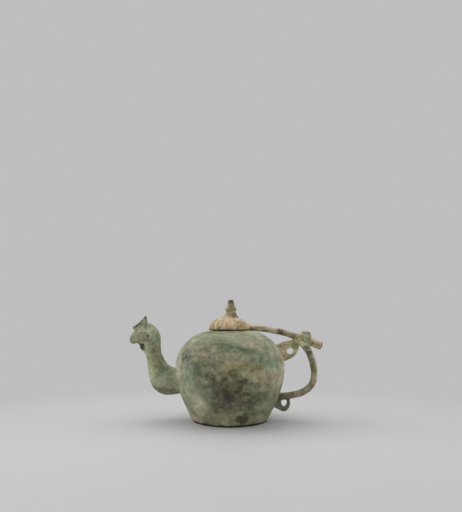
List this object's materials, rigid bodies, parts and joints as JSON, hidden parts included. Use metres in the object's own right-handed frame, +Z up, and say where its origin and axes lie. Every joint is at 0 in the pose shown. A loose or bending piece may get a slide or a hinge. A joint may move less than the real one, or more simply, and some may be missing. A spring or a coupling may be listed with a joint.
{
  "type": "rooster-head ewer",
  "caption": "Round bronze pouring vessel with a rooster-head spout, a looped grip handle and a petal lid on a long lever hinged at the top of the handle.",
  "frame": {"origin": "centre of the flat base", "axes": "+X towards the handle, -X towards the spout, +Z up, the same on both sides of the XZ plane"},
  "size_m": [0.2138, 0.12, 0.1299],
  "materials": {
    "body_bronze": "matt mottled green and brown corrosion",
    "spout_bronze": "matt yellow-green corrosion",
    "comb_bronze": "matt dark green corrosion",
    "handle_bronze": "matt olive brown, worn on the edges",
    "hinge_bronze": "rough green-yellow corrosion",
    "pin_bronze": "dark worn metal",
    "ring_bronze": "matt dark grey-green",
    "lid_bronze": "matt buff and ochre corrosion",
    "lever_bronze": "matt tan and brown, worn"
  },
  "bodies": {
    "vessel": {"vessel_body": "body_bronze", "spout_neck": "spout_bronze", "rooster_head": "spout_bronze", "comb_plate": "comb_bronze", "upper_bracket": "handle_bronze", "fork_ear_front": "hinge_bronze", "fork_ear_back": "hinge_bronze", "fork_saddle": "hinge_bronze", "hinge_pin": "pin_bronze", "handle_bar": "handle_bronze", "lower_ring": "ring_bronze"},
    "lid": {"lid_cap": "lid_bronze", "lid_finial": "lid_bronze", "lid_lever": "lever_bronze"}
  },
  "joints": [
    {"name": "lid_hinge", "type": "hinge", "parent": "vessel", "child": "lid", "pos_m": [0.0819, 0, 0.0862], "axis": [0, 1, 0], "range_deg": [0, 17]}
  ]
}
